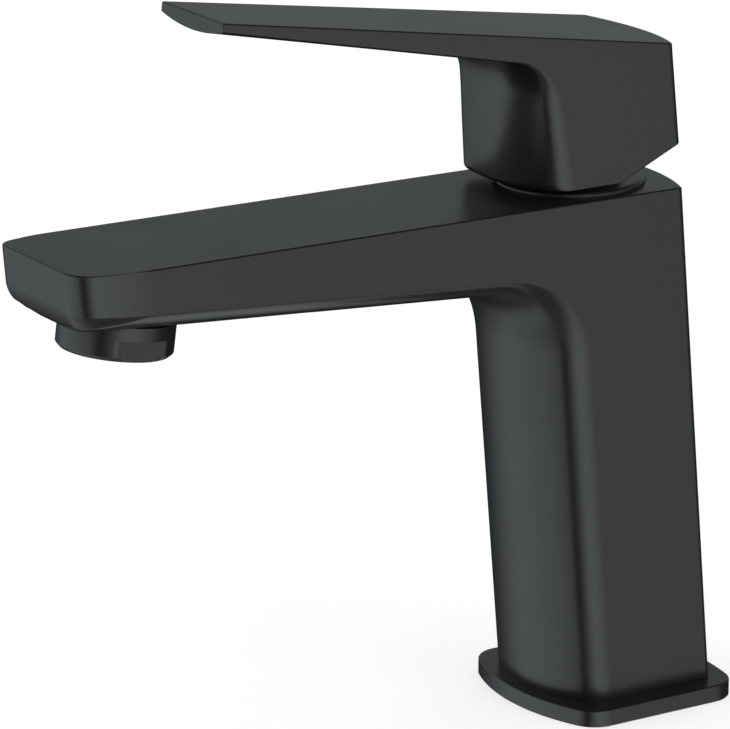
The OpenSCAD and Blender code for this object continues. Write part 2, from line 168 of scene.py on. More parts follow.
# Lever.
LEVER_HALF = 17.48  # half width at the top's rear corners
LEVER_TAPER = 0.03655  # how much it narrows towards the tip
LEVER_LEAN = math.radians(6.09)  # lean of the rear edge
LEVER_RISE = 0.15286  # slope of the top face
LEVER_Y, LEVER_HEIGHT = 4.9, 158.7  # the top's rear corners
LEVER_REACH = 110.7
TIP_SLANT = 0.07  # slant of the tip's front face
ARM_TILT = math.radians(11.66)  # slope of the arm's lower edge
BLOCK_LEAN = math.radians(11.1)  # lean of the block's front edge
BLOCK_FOOT = box_side("lever", Z, False)
LEVER_CORNER = np.array([-27.3, 157.15])  # where block edge and arm edge would meet
LEVER_BEND_R = 13.5  # radius of the inner bend on the flat side
NOOK_R = 9.5  # and in the middle of the bend
NOOK_START = 6.2  # reach of the block's front from the bend's centre, past which the radius grows
ARM_START, ARM_R, ARM_JOIN = 40.0, 1.5, 8.5  # skin under the arm: angle, small circle, wide circle
ARM_SHARE = 0.4  # share of the edge rounding on the arm's underside
ARM_POINTS, LEVER_BEND_POINTS = 25, 28
LEVER_BOW, LEVER_REAR_R = 4.05, 1.5  # how far the lever's rear bows out, and its corners
CHAMFER_RISE, HEEL_Y = 0.466, -8.3  # slope of the chamfer behind the block, and where it starts
TOE_POINTS = 4
STEM_R, STEM_TOP = 14.6, 141.0  # room inside the block for the cartridge
PLUG_Y = box_side("screw_plug", Y, False)
PLUG_Z = box_middle("screw_plug", Z)
PLUG_R = 3.45
BLOCK_UP, BLOCK_FORWARD = leaned(BLOCK_LEAN)
ARM_ALONG, ARM_BELOW = rising(ARM_TILT)


# ---------------- mesh helpers
def new_object(name, data):
    """An object with this data, in the scene."""
    obj = bpy.data.objects.new(name, data)
    bpy.context.scene.collection.objects.link(obj)
    return obj


def new_piece(name, verts, faces, body=None, slot=None):
    """Makes a mesh object from whole arrays: verts (n, 3) in millimetres, faces a list of index arrays. A
    piece that rides on a body has its slot's finish."""
    mesh = bpy.data.meshes.new(name)
    mesh.from_pydata((np.asarray(verts, float) * MM).tolist(), [], [tuple(int(i) for i in f) for f in faces])
    mesh.validate(clean_customdata=False)
    bm = bmesh.new()
    bm.from_mesh(mesh)
    if bm.calc_volume(signed=True) < 0:
        bmesh.ops.reverse_faces(bm, faces=bm.faces)
    bm.to_mesh(mesh)
    bm.free()
    mesh.update()
    obj = new_object(name, mesh)
    if body:
        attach(obj, body)
        mesh.materials.append(slot_finishes()[slot])
    return obj


def grid_faces(rows, points):
    """Quads of a grid of rows x points, each row joined end to start."""
    i = np.arange(rows - 1)[:, None] * points
    j = np.arange(points)[None, :]
    k = (j + 1) % points
    return np.stack([i + j, i + k, i + points + k, i + points + j], -1).reshape(-1, 4)


def ring_faces(rows, points):
    """Faces of a ring with a bore: the grid, and quads that join its last row to its first."""
    j = np.arange(points)
    k = (j + 1) % points
    last = (rows - 1) * points
    return list(grid_faces(rows, points)) + list(np.stack([last + j, last + k, k, j], -1))


def capped_faces(rows, points):
    """Faces of a closed form: the grid, and a disc on its first and last row."""
    j = np.arange(points)
    return list(grid_faces(rows, points)) + [j[::-1], (rows - 1) * points + j]


def smooth(obj, angle=38.0):
    """Smooth shading that breaks at edges sharper than angle, with normals that follow the large faces."""
    mesh = obj.data
    mesh.polygons.foreach_set("use_smooth", np.ones(len(mesh.polygons), bool))
    mesh.set_sharp_from_angle(angle=math.radians(angle))
    mod = obj.modifiers.new("normals", "WEIGHTED_NORMAL")
    mod.weight = 60  # 50 is neutral; above it, large faces count for more
    mod.keep_sharp = True


def cut(obj, tools):
    """Takes closed cutters from a piece and keeps the result as its mesh."""
    for t in tools:
        mod = obj.modifiers.new("cut", "BOOLEAN")
        mod.operation = "DIFFERENCE"
        mod.solver = "EXACT"
        mod.object = t
    mesh = bpy.data.meshes.new_from_object(obj.evaluated_get(bpy.context.evaluated_depsgraph_get()))
    obj.modifiers.clear()
    old, obj.data = obj.data, mesh
    mesh.name = old.name
    bpy.data.meshes.remove(old)
    for t in tools:
        mesh = t.data
        bpy.data.objects.remove(t)
        bpy.data.meshes.remove(mesh)


def turned(profile, centre, tilt=0.0, steps=96, limit=None):
    """Rings of a profile (radius, height) turned about an upright axis, then tilted about X and moved.
    limit gives, for each profile point, the half distance between two flats facing +X and -X."""
    a = np.linspace(0, 2 * np.pi, steps, endpoint=False)
    p = np.asarray(profile, float)
    r = np.repeat(p[:, :1], steps, 1)
    if limit is not None:
        flat = np.asarray(limit, float)[:, None] / np.maximum(np.abs(np.cos(a))[None, :], 1e-6)
        r = np.minimum(r, flat)
    x, y, z = r * np.cos(a), r * np.sin(a), np.repeat(p[:, 1:], steps, 1)
    t = math.radians(tilt)
    v = np.stack([x, y * math.cos(t) + z * math.sin(t), -y * math.sin(t) + z * math.cos(t)], -1)
    return v.reshape(-1, 3) + np.asarray(centre, float)


def coated_ring(name, profile, centre, tilt=0.0, steps=96, limit=None):
    """A coated ring on the faucet's body: a turned profile that joins its own start and leaves a bore."""
    v = turned(profile, centre, tilt, steps, limit)
    return new_piece(name, v, ring_faces(len(profile), steps), "faucet_body", "matte_black")


def cutter(profile, centre=(0, 0, 0), tilt=0.0, steps=96):
    """A closed turned form used only to cut."""
    return new_piece("cutter", turned(profile, centre, tilt, steps), capped_faces(len(profile), steps))


def arc(cx, cy, r, a0, a1, n):
    """Points on an arc, angles in degrees."""
    a = np.radians(np.linspace(a0, a1, n))
    return np.stack([cx + r * np.cos(a), cy + r * np.sin(a)], -1)


# ---------------- the bowed skin
def skin(d, half, start, r, join):
    """Depth of the bowed skin, d in from the edge of a face 2 x half wide: a small circle of radius r leaves
    the edge at start degrees and runs into a wide circle that begins at join degrees."""
    sin_start, cos_start = np.sin(np.radians(start)), np.cos(np.radians(start))
    sin_join, cos_join = np.sin(np.radians(join)), np.cos(np.radians(join))
    small_width = r * (sin_start - sin_join)
    wide_r = (half - small_width) / sin_join
    s = np.clip(sin_start - d / r, -1, 1)
    small = r * (np.sqrt(1 - s * s) - cos_start)
    height = np.sqrt(np.clip(1 - (np.maximum(half - d, 0) / wide_r) ** 2, 0, 1))
    wide = r * (cos_join - cos_start) + wide_r * (height - cos_join)
    return np.where(d <= 0, 0.0, np.where(d < small_width, small, wide))


def join_angle(half, r, depth):
    """Angle in degrees at which the wide circle must start for a skin that leaves the edge square to the
    face to be this deep in the middle. Found by halving."""
    low, high = np.zeros_like(depth + half), np.full_like(depth + half, math.radians(80))
    for _ in range(30):
        mid = 0.5 * (low + high)
        deep = r * np.cos(mid) + (half - r * (1 - np.sin(mid))) * np.tan(mid / 2) > depth
        low, high = np.where(deep, low, mid), np.where(deep, mid, high)
    return np.degrees(low)


def smaller(a, b, power):
    """Smooth smaller of two depths."""
    a, b = np.maximum(a, 1e-6), np.maximum(b, 1e-6)
    return (a**-power + b**-power) ** (-1 / power)


def inset(d, r):
    """How far a face draws back at distance d from an edge rounded with radius r."""
    d = np.clip(d, 0, r)
    return r - np.sqrt(np.maximum(r * r - (r - d) ** 2, 0))


def rows_across(n, half, r):
    """Rows from -X to +X: the side that each is on (-1 or 1), and its distance from that side's plane. The
    rows are close over an edge rounded with radius r, then widen towards the middle. Both (rows, 1)."""
    rounding_rows, spread = 6, 0.92
    near = r * (1 - np.cos(np.linspace(0, np.pi / 2, rounding_rows)))
    far = r + (half - r) * (1 - np.cos(np.linspace(0, 1, n) * np.pi / 2)) ** spread
    d = np.concatenate([near, far[1:]])
    side = np.concatenate([-np.ones(len(d) - 1), np.ones(len(d))])
    return side[:, None], np.concatenate([d[:-1], d[::-1]])[:, None]


def offset_loops(yz, amount):
    """Moves closed loops (rows, points, 2) inward along their own normals by amount (rows, points)."""
    prev, nxt = np.roll(yz, 1, 1), np.roll(yz, -1, 1)
    a, b = yz - prev, nxt - yz
    la, lb = np.linalg.norm(a, axis=-1, keepdims=True), np.linalg.norm(b, axis=-1, keepdims=True)
    a, b = a / np.maximum(la, 1e-9), b / np.maximum(lb, 1e-9)
    na, nb = np.stack([a[..., 1], -a[..., 0]], -1), np.stack([b[..., 1], -b[..., 0]], -1)
    m = na + nb
    m /= np.maximum((m * nb).sum(-1, keepdims=True), 0.3)  # the floor limits the mitre at sharp points
    return yz + m * amount[..., None]


def loft(name, xs, yz, hub, body):
    """Closed coated surface through side-view loops (rows, points, 2), row by row across x (rows, points).
    The flat face on the first and last loop is a fan of triangles about the hub (x, y, z) in its plane."""
    rows, n = yz.shape[:2]
    v = np.concatenate([xs[..., None], yz], -1).reshape(-1, 3)
    v = np.concatenate([v, [(-hub[0], hub[1], hub[2]), hub]])
    j = np.arange(n)
    k = (j + 1) % n
    last = (rows - 1) * n
    first_fan = np.stack([np.full(n, len(v) - 2), k, j], -1)
    last_fan = np.stack([np.full(n, len(v) - 1), last + j, last + k], -1)
    faces = [*grid_faces(rows, n), *first_fan, *last_fan]
    return new_piece(name, v, faces, body, "matte_black")


def fillet(a, b, c, r, n=EDGE_POINTS):
    """Rounds the corner b between a and c, arrays (rows, 2): returns (rows, n, 2) points on the arc."""
    u, v = a - b, c - b
    u, v = u / np.linalg.norm(u, axis=-1, keepdims=True), v / np.linalg.norm(v, axis=-1, keepdims=True)
    half = 0.5 * np.arccos(np.clip((u * v).sum(-1, keepdims=True), -1, 1))
    m = u + v
    m /= np.linalg.norm(m, axis=-1, keepdims=True)
    centre = b + m * r / np.sin(half)
    s, e = b + u * r / np.tan(half) - centre, b + v * r / np.tan(half) - centre
    phi = np.pi - 2 * half
    t = np.linspace(0, 1, n)[None, :, None]
    phi, s, e = phi[:, None], s[:, None], e[:, None]
    return centre[:, None] + (np.sin((1 - t) * phi) * s + np.sin(t * phi) * e) / np.sin(phi)


# ---------------- column and spout
def rim_lines():
    """Lower edge of the spout's side and front edge of the column's: where the two lines would meet, the
    bend's centre and end, the spout's run from there to the tip, the bend's turn, and the distance from the
    meeting point to where the bend starts."""
    k, m = FRONT_EDGE / math.cos(LEAN), math.tan(LEAN)
    z = (UNDER_HEIGHT + UNDER_RISE * (k + UNDER_Y)) / (1 - UNDER_RISE * m)
    corner = np.array([-k - z * m, z])
    turn = math.pi / 2 - LEAN - SPOUT_TILT
    tangent = BEND_R * math.tan(turn / 2)
    centre = corner - tangent * UP + BEND_R * FORWARD
    end = corner + tangent * ALONG
    tip = -REACH + (TOP_HEIGHT + TOP_RISE * REACH - UNDER_HEIGHT - UNDER_RISE * (REACH + UNDER_Y)) * m
    return corner, centre, end, (end[0] - tip) / math.cos(SPOUT_TILT), turn, tangent


def tip_outline(x):
    """Outline of the tip from above: radius, length and centre of the soft corner on the side of x, and how
    far behind the tip the outline lies at x. A small arc runs into a long one."""
    far = x < 0
    r, s = np.where(far, TIP_FAR_R, TIP_NEAR_R), np.where(far, TIP_FAR_LENGTH, TIP_NEAR_LENGTH)
    c = BODY_HALF - TIP_R + np.sqrt((TIP_R - r) ** 2 - (s - r) ** 2)
    a = np.abs(x)
    change = c + r * (c - (BODY_HALF - TIP_R)) / (TIP_R - r)
    small = r - np.sqrt(np.clip(r * r - (a - c) ** 2, 0, None))
    wide = s - np.sqrt(np.clip(TIP_R**2 - (a - BODY_HALF + TIP_R) ** 2, 0, None))
    return r, s, c, np.where(a <= c, 0.0, np.where(a <= change, small, wide))


def inward(x, t):
    """Inward distance from the tip's outline at x, t behind the tip."""
    r, s, c, _ = tip_outline(x)
    a = np.abs(x)
    u, v = a - BODY_HALF + TIP_R, s - t
    wide = TIP_R - np.hypot(u, v)
    small = r - np.hypot(a - c, r - t)
    on_wide = u * (s - r) > v * (c - BODY_HALF + TIP_R)
    d = np.where(on_wide, wide, np.where((a > c) & (t < r), small, t))
    return np.where((v <= 0) | (u <= 0), BODY_HALF - a, d)


def spout_depth(x, t, join):
    """Depth under the spout: the side's skin met by a steeper one from the front and the corners."""
    side = skin(BODY_HALF - np.abs(x), BODY_HALF, SPOUT_START, SPOUT_R, join)
    front = skin(t, BODY_HALF, FRONT_START, LIP_R, LIP_JOIN)
    corner = skin(inward(x, t), BODY_HALF, CORNER_START, LIP_R, LIP_JOIN)
    return np.where(t > LIP_LENGTH, side, np.minimum(corner, smaller(side, front, 5)))


def body_front(side, d):
    """Column, inner bend and underside of the spout: loop points (rows, points, 2), each on the bowed skin
    over its rim line. On the +X side the skin starts NEAR_BACK further back; round the bend that fades."""
    corner, centre, end, run, turn, tangent = rim_lines()
    bow = skin(d, BODY_HALF, 90.0, COLUMN_R, WIDE_START)
    join = join_angle(BODY_HALF, COLUMN_R, bow.max() + NEAR_BACK)
    soft = (side > 0) * (skin(d, BODY_HALF, 90.0, COLUMN_R, join) - NEAR_BACK - bow)
    h = bow + soft
    foot = (corner[1] - PLATE_T - math.sin(LEAN) * h) / math.cos(LEAN)
    b = foot + (tangent - foot) * np.linspace(0, 1, COLUMN_POINTS)[None, :]
    column = corner - b[..., None] * UP + h[..., None] * FORWARD

    f = np.linspace(0, 1, BEND_POINTS + 2)[None, 1:-1]
    g = f * f * (2 - f)  # starts level, so that the skin runs on smoothly from the column
    angle = LEAN + f * turn
    normal = np.stack([-np.cos(angle), -np.sin(angle)], -1)
    h = skin(d, BODY_HALF, 90 - (90 - SPOUT_START) * g, COLUMN_R + (SPOUT_R - COLUMN_R) * g, WIDE_START)
    h += soft * (1 + np.cos(np.pi * f)) / 2
    bend = centre + (h[..., None] - BEND_R) * normal

    x = side * (BODY_HALF - d)
    square = math.cos(SPOUT_TILT + LEAN)
    first = tip_outline(x)[3] / square
    t = first + (run - first) * (1 - np.linspace(0, 1, SPOUT_POINTS)[None, :]) ** 2.0
    join = np.interp(t, [34.0, run * 0.6, run], [25.5, 24.5, WIDE_START])  # a little fuller behind the lip
    h = spout_depth(x, t * square, join)
    h[:, -1] = 0.0
    spout = end + (run - t)[..., None] * ALONG + h[..., None] * BELOW
    return np.concatenate([column, bend, spout], 1)


def on_top(v):
    """Points of the body's top face at v, measured square to the leaned axis."""
    y = (v - TOP_HEIGHT * math.sin(LEAN)) / (math.cos(LEAN) - TOP_RISE * math.sin(LEAN))
    return np.stack([y, TOP_HEIGHT - TOP_RISE * y], -1)


def body_rear(x):
    """Rear edge of the column from above, at x (rows,): a wide bow with small corners."""
    r, wide_r = REAR_CORNER_R, (BODY_HALF**2 + REAR_BOW**2) / (2 * REAR_BOW)
    c = REAR_EDGE - wide_r + REAR_BOW
    a = np.abs(x)
    kx = BODY_HALF - r
    ky = c + math.sqrt((wide_r - r) ** 2 - kx * kx)
    bow = c + np.sqrt(np.maximum(wide_r * wide_r - a * a, 0))
    corner = ky + np.sqrt(np.maximum(r * r - (a - kx) ** 2, 0))
    return np.where(a > kx * wide_r / (wide_r - r), corner, bow)


def make_body():
    """Column and spout: a closed loop in side view (bowed front, inner bend, underside, tip, top and rear),
    carried from one flat side face to the other; its depth at each x is the bowed skin."""
    st = settings()
    edge = st.edge / MM
    side, d = rows_across(st.columns, BODY_HALF, edge)
    x = side * (BODY_HALF - d)
    front = body_front(side, d)
    tip_v = -REACH * math.cos(LEAN) + (TOP_HEIGHT + TOP_RISE * REACH) * math.sin(LEAN)
    tip_top = on_top((tip_v + tip_outline(x)[3])[:, 0])
    v = body_rear(x[:, 0])
    rear_top = on_top(v)
    rear_foot = np.stack([(v - PLATE_T * math.sin(LEAN)) / math.cos(LEAN), np.full_like(v, PLATE_T)], -1)
    tip = fillet(front[:, -1], tip_top, rear_top, edge)
    rear = fillet(tip_top, rear_top, rear_foot, edge)
    yz = np.concatenate([front, tip, rear, rear_foot[:, None]], 1)

    # the side's edge is rounded in full at tip, top and rear, less underneath, and not on the column's front
    bend = UNDER_SHARE * np.linspace(0, 1, BEND_POINTS + 2)[1:-1]
    spout = np.interp(np.linspace(0, 1, SPOUT_POINTS), [0, 0.9, 1], [UNDER_SHARE, UNDER_SHARE, 1.0])
    share = np.concatenate([np.zeros(COLUMN_POINTS), bend, spout, np.ones(2 * EDGE_POINTS), [0.3]])
    yz = offset_loops(yz, inset(d, edge) * share[None, :])
    xs = np.repeat(x, yz.shape[1], 1)
    hub = (BODY_HALF, -5.0, 118.0)
    obj = loft("body_shell", xs, yz, hub, "faucet_body")
    chamber = [(13.9, 107.2), (13.9, 119.8), (15, 119.8), (15, 125.1), (17.9, 125.1), (17.9, 140)]
    recess = [(13.35, -4), (13.35, 8), (12, 8), (12, 15.7)]
    cut(obj, [cutter(chamber, (0, AXIS_Y, 0)), cutter(recess, (0, OUTLET_Y, OUTLET_Z), OUTLET_TILT)])
    smooth(obj)
    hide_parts("body")


def make_spigot():
    """The body's foot inside the base plate, with the stud hole and the two hose holes."""
    r = SPIGOT_R
    profile = [(r - 0.3, 0), (r, 0.3), (r, SPIGOT_TOP), (r - 1.0, SPIGOT_TOP)]
    obj = new_piece("spigot", turned(profile, (0, 0, 0)), capped_faces(4, 96), "faucet_body", "matte_black")
    depth = 3.9
    holes = [cutter([(STUD_R, -2), (STUD_R, depth)], (0, STUD_Y, 0), 0, 48)]
    holes += [cutter([(HOSE_R, -2), (HOSE_R, depth)], (s * HOSE_X, HOSE_Y, 0), 0, 48) for s in (-1, 1)]
    cut(obj, holes)
    smooth(obj)
    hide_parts("body")


# ---------------- lever
LEVER_V = LEVER_Y * math.cos(LEVER_LEAN) + LEVER_HEIGHT * math.sin(LEVER_LEAN)
LEVER_NARROWING = LEVER_TAPER / (math.cos(LEVER_LEAN) - LEVER_RISE * math.sin(LEVER_LEAN))
LEVER_TIP_HEIGHT = LEVER_HEIGHT + (LEVER_Y + LEVER_REACH) * LEVER_RISE
LEVER_TURN = math.pi / 2 - BLOCK_LEAN - ARM_TILT
LEVER_TANGENT = LEVER_BEND_R * math.tan(LEVER_TURN / 2)


def half_at(p):
    """Half width of the lever at side-view points: it narrows evenly towards the tip."""
    v = p[..., 0] * math.cos(LEVER_LEAN) + p[..., 1] * math.sin(LEVER_LEAN)
    return LEVER_HALF - (LEVER_V - v) * LEVER_NARROWING


def from_side(d, half, edge):
    """Distance from the side plane where the lever is 2 x half wide: the edge's rounding keeps its size."""
    return np.where(d <= edge, d, edge + (d - edge) * (half - edge) / (LEVER_HALF - edge))


def block_depth(b, d, half, side):
    """Depth of the block's front, b below the inner corner: one depth in the middle, a soft corner on the
    +X side and a tighter corner, further forward, on the -X side, both drawn in at the lower edge."""
    at = [0, 17.5, 27.4, 28.2, 30.5]
    depth = np.interp(b, at, [6.0, 8.5, 9.8, 9.65, 7.8])
    soft_r = np.interp(b, at, [4.4, 5.6, 6.8, 7.0, 6.6])
    ahead = np.interp(b, at, [1.1, 3.6, 4.9, 4.75, 2.9])
    tight_r = 4.1
    soft = skin(d, half, 90.0, soft_r, join_angle(half, soft_r, depth + NEAR_BACK)) - NEAR_BACK
    tight = ahead + skin(d, half, 90.0, tight_r, join_angle(half, tight_r, depth - ahead))
    return np.where(side > 0, soft, np.where(d <= 0, ahead, tight))


def nook(a, front, under):
    """Distance from the bend's centre to the inner corner, at angle a of the bend: the block's front lies
    front away, the arm's underside under away, and a circle touches both. Its radius is NOOK_R in the middle
    and the bend's own at the side. Also returns how far the circle reaches along the arm past the bend."""
    grown = np.clip((front - NOOK_START) / (LEVER_BEND_R - NOOK_START), 0, 1)
    r = np.minimum(NOOK_R + (LEVER_BEND_R - NOOK_R) * grown, LEVER_BEND_R)
    cx = front - r
    cy = (under - r - cx * math.cos(LEVER_TURN)) / math.sin(LEVER_TURN)
    along = np.cos(a) * cx + np.sin(a) * cy
    circle = along + np.sqrt(np.maximum(along**2 - cx**2 - cy**2 + r * r, 0))
    distance = np.where(a < np.arctan2(cy, front), front / np.cos(a), circle)
    reach = cy * math.cos(LEVER_TURN) - cx * math.sin(LEVER_TURN)
    on_arm = (reach < 0) & (a > LEVER_TURN + np.arctan2(reach, under))
    return np.where(on_arm, under / np.cos(LEVER_TURN - a), distance), reach


def lever_block(side, d, edge):
    """Front of the block from its lower edge up to the bend: loop points and half widths. Where it starts
    depends on its own depth there, so that is found in a few rounds."""
    t = np.array([0, 0.035, 0.045, 0.055, 0.07, 0.09, 0.105, 0.12, 0.14, 0.17, 0.25, 0.4, 0.6, 0.8, 1.0])
    depth = np.zeros_like(d)
    for _ in range(6):
        foot = (LEVER_CORNER[1] - BLOCK_FOOT - math.sin(BLOCK_LEAN) * depth[:, :1]) / math.cos(BLOCK_LEAN)
        b = foot + (LEVER_TANGENT - foot) * t[None, :]
        rim = LEVER_CORNER - b[..., None] * BLOCK_UP
        half = half_at(rim)
        depth = block_depth(b, from_side(d, half, edge), half, side)
    return rim + depth[..., None] * BLOCK_FORWARD, half


def lever_bend(side, d, edge):
    """Inner bend between block and arm: loop points, half widths, and how far the nook's circle reaches
    along the arm. The block's front carries on upward behind the circle."""
    a = np.linspace(0, 1, LEVER_BEND_POINTS + 2)[None, 1:-1] * LEVER_TURN
    normal = np.stack([-np.cos(BLOCK_LEAN + a), -np.sin(BLOCK_LEAN + a)], -1)
    centre = LEVER_CORNER - LEVER_TANGENT * BLOCK_UP + LEVER_BEND_R * BLOCK_FORWARD
    rim = centre - LEVER_BEND_R * normal
    half = half_at(rim) + 0 * d
    s = from_side(d, half, edge)
    carry_r, carry_end = 6.0, 0.85  # how the block's own line is followed upward, and the last angle
    b = LEVER_TANGENT - carry_r * np.tan(np.minimum(a, carry_end))
    front = LEVER_BEND_R - block_depth(b, s, half, side)
    under = LEVER_BEND_R - skin(s, half, ARM_START, ARM_R, ARM_JOIN)
    distance, reach = nook(a, front, under)
    return rim + (LEVER_BEND_R - distance)[..., None] * normal, half, reach


def lever_arm(d, edge, reach):
    """Underside of the arm from the bend to the tip: loop points and half widths. Its first points run out
    of the nook's circle, and its end, where it meets the slanted tip, is found in a few rounds."""
    t = np.concatenate([np.linspace(0, 0.06, 8), np.linspace(0.1, 1, ARM_POINTS - 8)])
    tip = -LEVER_REACH - TIP_SLANT * LEVER_TIP_HEIGHT
    end = np.full_like(d, 90.0)
    for _ in range(4):
        q = LEVER_TANGENT + (end - LEVER_TANGENT) * t[None, :]
        rim = LEVER_CORNER + q[..., None] * ARM_ALONG
        half = half_at(rim)
        join = np.interp(q, [LEVER_TANGENT, 30, 89], [ARM_JOIN, 9.5, 13.5])
        h = skin(from_side(d, half, edge), half, ARM_START, ARM_R, join)
        h += inset(q - LEVER_TANGENT + NOOK_R - np.minimum(reach[:, -1:], NOOK_R), NOOK_R)
        p = LEVER_CORNER + h[:, -1:] * ARM_BELOW
        end = (tip - p[:, :1] + TIP_SLANT * p[:, 1:]) / (ARM_ALONG[0] - TIP_SLANT * ARM_ALONG[1])
    return rim + h[..., None] * ARM_BELOW, half


def lever_rear(d, edge):
    """Rear edge of the top face and upper edge of the rear chamfer (rows, 2): from above, a wide bow with
    small corners. Its place and the lever's width depend on each other, and settle in a few rounds."""
    r, wide_r = LEVER_REAR_R, (LEVER_HALF**2 + LEVER_BOW**2) / (2 * LEVER_BOW)
    behind, slack = 0.1, 0.05  # the bow's ends lie a little behind the top's corners and outside them
    c = LEVER_V + behind - wide_r + LEVER_BOW
    corner = c + math.sqrt((wide_r - r) ** 2 - (LEVER_HALF - r - slack) ** 2)
    v = np.full_like(d, LEVER_V)
    for _ in range(5):
        half = LEVER_HALF - (LEVER_V - v) * LEVER_NARROWING
        s = from_side(d, half, edge)
        bow = c + np.sqrt(wide_r**2 - (half - s) ** 2)
        small = corner + np.sqrt(np.maximum(r * r - np.maximum(r - s, 0) ** 2, 0))
        v = np.where(s < r, np.minimum(bow, small), bow)
    sin, cos = math.sin(LEVER_LEAN), math.cos(LEVER_LEAN)
    y = (v - (LEVER_HEIGHT + LEVER_Y * LEVER_RISE) * sin) / (cos - LEVER_RISE * sin)
    top = np.concatenate([y, LEVER_HEIGHT + (LEVER_Y - y) * LEVER_RISE], 1)
    y = (v - (BLOCK_FOOT - CHAMFER_RISE * HEEL_Y) * sin) / (cos + CHAMFER_RISE * sin)
    return top, np.concatenate([y, BLOCK_FOOT + CHAMFER_RISE * (y - HEEL_Y)], 1)


def make_lever():
    """Lever: a closed loop in side view (block front, inner bend, arm underside, tip, top, rear, rear
    chamfer and bottom), carried from one tapered side face to the other."""
    st = settings()
    edge = st.edge / MM
    side, d = rows_across(st.columns, LEVER_HALF, edge)
    block, block_half = lever_block(side, d, edge)
    bend, bend_half, reach = lever_bend(side, d, edge)
    arm, arm_half = lever_arm(d, edge, reach)
    rear_top, rear_foot = lever_rear(d, edge)
    tip_top = np.array([[-LEVER_REACH, LEVER_TIP_HEIGHT]]) + 0 * d
    heel = np.array([[HEEL_Y, BLOCK_FOOT]]) + 0 * d
    toe = fillet(heel, block[:, 0], block[:, 3], edge, TOE_POINTS)
    tip = fillet(arm[:, -1], tip_top, rear_top, edge)
    rear = fillet(tip_top, rear_top, rear_foot, edge)
    lower = fillet(rear_top, rear_foot, heel, edge)
    rest = np.concatenate([tip, rear, lower, heel[:, None]], 1)
    yz = np.concatenate([toe, block[:, 1:], bend, arm, rest], 1)
    toe_half = np.repeat(block_half[:, :1], TOE_POINTS, 1)
    half = np.concatenate([toe_half, block_half[:, 1:], bend_half, arm_half, half_at(rest)], 1)

    # the side's edge is rounded in full at tip, top and rear, less underneath, and not on the block's front
    bend_share = ARM_SHARE * np.linspace(0, 1, LEVER_BEND_POINTS + 2)[1:-1]
    share = np.concatenate([np.full(TOE_POINTS, 0.6), np.zeros(block.shape[1] - 1), bend_share,
                            np.full(ARM_POINTS, ARM_SHARE), np.ones(rest.shape[1])])
    d = from_side(d, half, edge)
    yz = offset_loops(yz, inset(d, edge) * share[None, :])
    half[[0, -1]] = half_at(yz[[0, -1]])
    hub = np.array([-8.0, 157.0])
    obj = loft("lever_shell", side * (half - d), yz, (half_at(hub), *hub), "handle")
    cut(obj, [cutter([(STEM_R, 100), (STEM_R, STEM_TOP)], (0, AXIS_Y, 0)), plug_hole()])
    smooth(obj)
    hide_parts("lever")


def plug_hole():
    """Cutter along Y for the set screw's hole in the lever's rear."""
    r = PLUG_R + 0.1
    obj = cutter([(r, 5.5), (r, 20)], steps=48)
    obj.data.transform(Matrix(((1, 0, 0, 0), (0, 0, 1, 0), (0, -1, 0, PLUG_Z * MM), (0, 0, 0, 1))))
    return obj


# ---------------- base plate
def plate_outline(delta):
    """The base plate's outline drawn in by delta: flat sides, bowed front and rear, round corners.
    Each arc keeps its centre and loses delta of its radius."""
    corner_r = 7.44
    front_y, front_bow = -18.6, 6.43
    rear_y, rear_bow = 21.88, 3.15
    front_r = (PLATE_HALF**2 + front_bow**2) / (2 * front_bow)
    rear_r = (PLATE_HALF**2 + rear_bow**2) / (2 * rear_bow)
    front_c, rear_c = front_y + front_r - front_bow, rear_y - rear_r + rear_bow
    x = PLATE_HALF - corner_r
    front = front_c - math.sqrt((front_r - corner_r) ** 2 - x * x)
    rear = rear_c + math.sqrt((rear_r - corner_r) ** 2 - x * x)
    front_end = math.degrees(math.atan2(front - front_c, x))
    rear_start = math.degrees(math.atan2(rear - rear_c, x))
    right = np.concatenate([arc(0, front_c, front_r - delta, -90, front_end, 14)[:-1],
                            arc(x, front, corner_r - delta, front_end, 0, 16),
                            arc(x, rear, corner_r - delta, 0, rear_start, 16),
                            arc(0, rear_c, rear_r - delta, rear_start, 90, 14)[1:]])
    left = right[1:-1][::-1] * [-1, 1]
    return np.concatenate([right, left])


def make_plate():
    """Base plate: an edge profile with a rounded upper edge carried round the outline, then in over the
    top to the spigot opening, down, and back under with the gasket's groove."""
    r = settings().plate_edge / MM
    chamfer = 0.25
    opening, groove_in, groove_out, groove_depth = 15.5, 19.0, 21.6, 1.8
    edge = [(chamfer, 0.0), (0.0, chamfer)]
    edge += [(r * (1 - math.cos(a)), PLATE_T - r + r * math.sin(a)) for a in np.linspace(0, np.pi / 2, 6)]
    rings = []
    for delta, z in edge:
        outline = plate_outline(delta)
        rings.append(np.c_[outline, np.full(len(outline), z)])
    angle = np.arctan2(rings[0][:, 1], rings[0][:, 0])
    inner = [(opening, PLATE_T), (opening, 0), (groove_in, 0), (groove_in, groove_depth),
             (groove_out, groove_depth), (groove_out, 0)]
    for r, z in inner:
        rings.append(np.c_[r * np.cos(angle), r * np.sin(angle), np.full(len(angle), z)])
    v = np.stack(rings)
    faces = ring_faces(*v.shape[:2])
    obj = new_piece("base_plate_shell", v.reshape(-1, 3), faces, "faucet_body", "matte_black")
    smooth(obj)
    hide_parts("base_plate")


